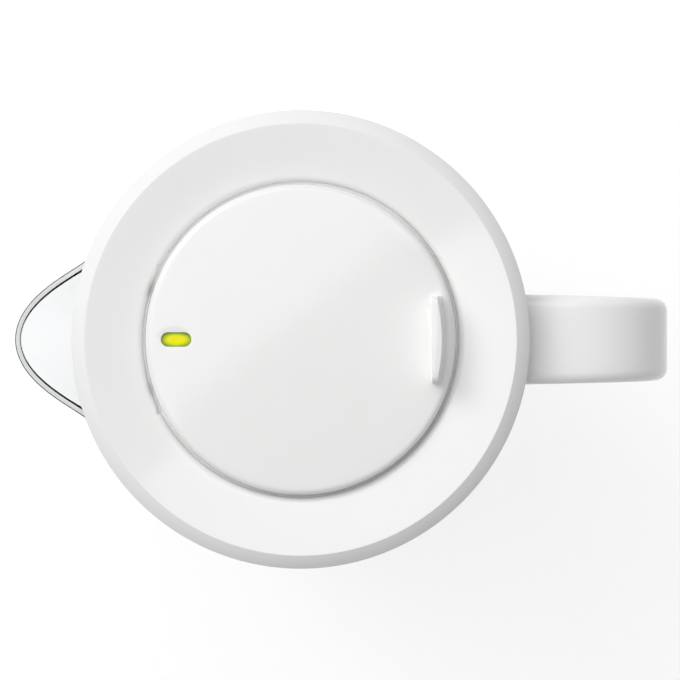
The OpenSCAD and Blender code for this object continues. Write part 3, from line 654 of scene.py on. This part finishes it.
class JUG_OT_handle(bpy.types.Operator):
    """Builds the two shells of the handle with their parting line"""

    bl_idname = "filterjug.handle"
    bl_label = "Handle"

    def execute(self, context):
        sizes, finishes = context.scene.handle_sizes, context.scene.jug_finishes
        grip = Grip(sizes, context.scene.jug_sizes)
        half, c, cut = grip.half, sizes.rounding, sizes.parting
        part = -sizes.parting_drop
        edge = part - sizes.parting_gap

        def hood(w):
            """The outer shell's section, from its right edge over the top to its left."""
            points = [(w / 2 - cut, part), (w / 2, part + cut)]
            points += arc((w / 2 - c, half - c), c, 0, 90, 9)
            points += [(w / 4, half), (0, half), (-w / 4, half)]
            points += arc((-w / 2 + c, half - c), c, 90, 180, 9)
            points += [(-w / 2, part + cut), (-w / 2 + cut, part)]
            return points

        def tray(w):
            """The inner shell's section, from its left edge under the bottom to its right."""
            points = [(-w / 2 + cut, edge), (-w / 2, edge - cut)]
            points += arc((-w / 2 + c, -half + c), c, 180, 270, 9)
            points += [(-w / 4, -half), (0, -half), (w / 4, -half)]
            points += arc((w / 2 - c, -half + c), c, 270, 360, 9)
            points += [(w / 2, edge - cut), (w / 2 - cut, edge)]
            return points

        # The handle's whiter colour is painted light against the lid's shade on it
        white = glossy_plastic("handle gloss white painted light", finishes.handle_white_painted_light, 0.14, 0.24)
        back = satin_plastic("handle satin white", finishes.inner_white, 0.3, 0.42)
        for name, section, finish, slot, node in (
            ("handle_outer_shell", hood, white, "white_gloss", "handle_shell"),
            ("handle_inner_shell", tray, back, "white_satin", "handle_back"),
        ):
            rings = grip.rings(section, HANDLE_ROWS)
            piece = bake(name, rings, caps=(0, len(rings) - 1), body="jug",
                         material=finish.material)
            crisp(piece, 32)
            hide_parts(node)
        return {"FINISHED"}


class JUG_OT_hopper(bpy.types.Operator):
    """Gives the hopper its milky plastic"""

    bl_idname = "filterjug.hopper"
    bl_label = "Hopper"

    def execute(self, context):
        finishes = context.scene.jug_finishes
        dress(["funnel"], milky_plastic("milky hopper plastic", finishes.milky).material)
        return {"FINISHED"}


class JUG_OT_cartridge(bpy.types.Operator):
    """Dresses the filter cartridge, its granules, gauze and seal"""

    bl_idname = "filterjug.cartridge"
    bl_label = "Cartridge"

    def execute(self, context):
        finishes = context.scene.jug_finishes
        satin = satin_plastic("cartridge satin white", finishes.inner_white).material
        dress(["cartridge_cup", "cartridge_cap"], satin)
        dress(["cartridge_media"], granules("resin and charcoal grains").material, 0)
        dress(["inlet_mesh", "outlet_mesh"],
              woven_mesh("cartridge gauze", (0.8, 0.8, 0.78)).material, 0)
        dress(["cartridge_seal"],
              soft_rubber("cartridge seal rubber", (0.3, 0.33, 0.35)).material, 0)
        return {"FINISHED"}


class JUG_OT_lid(bpy.types.Operator):
    """Dresses the dished lid ring and its liner"""

    bl_idname = "filterjug.lid"
    bl_label = "Lid"

    def execute(self, context):
        finishes = context.scene.jug_finishes
        dress(["lid_ring"], glossy_plastic("lid gloss white", finishes.lid_white).material,
              0.3 * MM, 3)
        dress(["lid_liner"],
              satin_plastic("liner satin white", finishes.inner_white).material)
        return {"FINISHED"}


class JUG_OT_flap(bpy.types.Operator):
    """Dresses the flap, its underside and the pieces of the indicator"""

    bl_idname = "filterjug.flap"
    bl_label = "Flap"

    def execute(self, context):
        window, finishes = context.scene.window_sizes, context.scene.jug_finishes
        dress(["flap_cover"], glossy_plastic("flap gloss white", finishes.lid_white).material,
              0.3 * MM, 3)
        dress(["flap_underside"],
              satin_plastic("underside satin white", finishes.inner_white).material)
        dress(["battery_cover"],
              satin_plastic("battery cover white", finishes.inner_white, 0.3, 0.4).material)
        dress(["reset_button"],
              satin_plastic("button grey", (0.34, 0.36, 0.37), 0.35, 0.45).material)
        dress(["cover_seal"], soft_rubber("battery seal rubber", (0.3, 0.33, 0.35)).material, 0)
        dress(["indicator_board"], circuit_board("indicator board").material, 0)
        dress(["indicator_led"],
              satin_plastic("light diode body", (0.85, 0.8, 0.45), 0.2, 0.3).material, 0)
        dress(["coin_cell"], turned_metal("coin cell steel", (0.62, 0.62, 0.6)).material,
              0.15 * MM)
        dress(["battery_contact"], turned_metal("contact gold", (0.8, 0.6, 0.25)).material, 0)
        centre = Vector((-window.lens_place, 0, 0))
        lens = window_light("indicator lens painted glow and shade", finishes.lime, finishes.glow, centre,
                            window.lens_length / 2, window.lens_width / 2)
        dress(["light_window"], lens.material, 0.2 * MM)
        return {"FINISHED"}


# ------------------------------------------------------------------- stage


def seen_directly(tree):
    """One for the rays that show a background: those of the eye, of mirrors and of glass."""
    path = tree.nodes.new("ShaderNodeLightPath")
    seen = path.outputs["Is Camera Ray"]
    for other in ("Is Glossy Ray", "Is Transmission Ray"):
        either = tree.nodes.new("ShaderNodeMath")
        either.operation = "MAXIMUM"
        tree.links.new(seen, either.inputs[0])
        tree.links.new(path.outputs[other], either.inputs[1])
        seen = either.outputs["Value"]
    return seen


def lift_view(finish, share, strength):
    """Mixes a backdrop with light of its own, only for the rays that show it."""
    glow = finish.add("ShaderNodeEmission", Strength=strength)
    part = finish.add("ShaderNodeMath", operation="MULTIPLY")
    part.inputs[1].default_value = share
    finish.link(seen_directly(finish.tree), part.inputs[0])
    mix = finish.add("ShaderNodeMixShader")
    finish.link(part.outputs["Value"], mix.inputs["Fac"])
    finish.link(finish.surface.outputs["BSDF"], mix.inputs[1])
    finish.link(glow.outputs["Emission"], mix.inputs[2])
    output = finish.tree.nodes["Material Output"]
    finish.link(mix.outputs["Shader"], output.inputs["Surface"])


def softbox(name, azimuth, tilt, distance, size, radiance):
    """A rectangular lamp that shines at the lid from an azimuth and a tilt in degrees."""
    data = bpy.data.lights.new(name, "AREA")
    data.shape = "RECTANGLE"
    data.size, data.size_y = size
    data.energy = radiance * math.pi * size[0] * size[1]
    lamp = bpy.data.objects.new(name, data)
    bpy.context.scene.collection.objects.link(lamp)
    a, t = math.radians(azimuth), math.radians(tilt)
    way = Vector((math.cos(a) * math.sin(t), math.sin(a) * math.sin(t), math.cos(t)))
    lamp.location = Vector((0, 0, 0.24)) + way * distance
    lamp.rotation_euler = (0, t, a)


# Metres: the camera's place over the table, its height above the lid's ridge, and
# the width that the photograph spans at that height
CAMERA_X, CAMERA_Y, RIDGE_Z = 0.01501, -0.0002, 0.252
CAMERA_RISE, VIEW_WIDTH = 2.5, 0.2591


class JUG_OT_stage(bpy.types.Operator):
    """Sets the floor, the lights and the camera above the lid"""

    bl_idname = "filterjug.stage"
    bl_label = "Stage"

    def execute(self, context):
        scene = context.scene
        scene.view_settings.view_transform = "Standard"
        floor = bake("studio_floor", [[(x, y, 0) for x in (-6, 6)] for y in (-6, 6)],
                     closed_rings=False)
        paper = Finish("studio paper", (0.86, 0.86, 0.86), 0.9)
        paper.mottle(3.0, 0.003).relief([(paper.noise(900.0, 3.0), 0.1, 0.00005)])
        # Seen as white, with a faint shadow of the object
        lift_view(paper, 0.65, 1.18)
        floor.data.materials.append(paper.material)

        # White where it is seen, and dimmer as a light on the object
        world = bpy.data.worlds.new("studio surround")
        scene.world = world
        world.use_nodes = True
        tree = world.node_tree
        air = tree.nodes["Background"]
        air.inputs["Color"].default_value = (1, 1, 1, 1)
        level = tree.nodes.new("ShaderNodeMapRange")
        level.inputs["To Min"].default_value = 0.3
        level.inputs["To Max"].default_value = 1.0
        tree.links.new(seen_directly(tree), level.inputs["Value"])
        tree.links.new(level.outputs["Result"], air.inputs["Strength"])

        softbox("overhead softbox", 128, 27.5, 3.2, (3.2, 3.8), 1.8)
        softbox("side softbox", 140, 50, 3.0, (1.3, 1.3), 4.3)

        camera = bpy.data.cameras.new("overhead camera")
        holder = bpy.data.objects.new("overhead camera", camera)
        scene.collection.objects.link(holder)
        scene.camera = holder
        camera.sensor_width = 36.0
        camera.lens = camera.sensor_width * CAMERA_RISE / VIEW_WIDTH
        camera.clip_end = 20.0
        holder.location = (CAMERA_X, CAMERA_Y, RIDGE_Z + CAMERA_RISE)
        holder.rotation_euler = (0, 0, 0)
        return {"FINISHED"}


class JUG_PT_parts(bpy.types.Panel):
    """Lists the jug's pieces and their sizes"""

    bl_idname = "JUG_PT_parts"
    bl_label = "Filter jug"
    bl_space_type = "VIEW_3D"
    bl_region_type = "UI"
    bl_category = "Filter jug"

    def draw(self, context):
        layout = self.layout
        for title, group, operators in (
            ("Jug", "jug_sizes", (JUG_OT_clear_wall, JUG_OT_hopper, JUG_OT_cartridge)),
            ("Handle", "handle_sizes", (JUG_OT_handle,)),
            ("Lid and light window", "window_sizes", (JUG_OT_lid, JUG_OT_flap)),
            ("Finishes", "jug_finishes", (JUG_OT_stage,)),
        ):
            box = layout.box()
            box.label(text=title)
            values = getattr(context.scene, group)
            for name in values.__annotations__:
                box.prop(values, name)
            for operator in operators:
                box.operator(operator.bl_idname)


GROUPS = {
    "jug_sizes": JugSizes,
    "handle_sizes": HandleSizes,
    "window_sizes": WindowSizes,
    "jug_finishes": Finishes,
}
OPERATORS = (
    JUG_OT_clear_wall,
    JUG_OT_handle,
    JUG_OT_hopper,
    JUG_OT_cartridge,
    JUG_OT_lid,
    JUG_OT_flap,
    JUG_OT_stage,
)


def register():
    for name, group in GROUPS.items():
        bpy.utils.register_class(group)
        setattr(bpy.types.Scene, name, bpy.props.PointerProperty(type=group))
    for item in (*OPERATORS, JUG_PT_parts):
        bpy.utils.register_class(item)


def unregister():
    for item in (JUG_PT_parts, *reversed(OPERATORS)):
        bpy.utils.unregister_class(item)
    for name, group in reversed(GROUPS.items()):
        delattr(bpy.types.Scene, name)
        bpy.utils.unregister_class(group)


def main():
    register()
    bpy.ops.filterjug.clear_wall()
    bpy.ops.filterjug.handle()
    bpy.ops.filterjug.hopper()
    bpy.ops.filterjug.cartridge()
    bpy.ops.filterjug.lid()
    bpy.ops.filterjug.flap()
    bpy.ops.filterjug.stage()


if __name__ == "__main__":
    main()
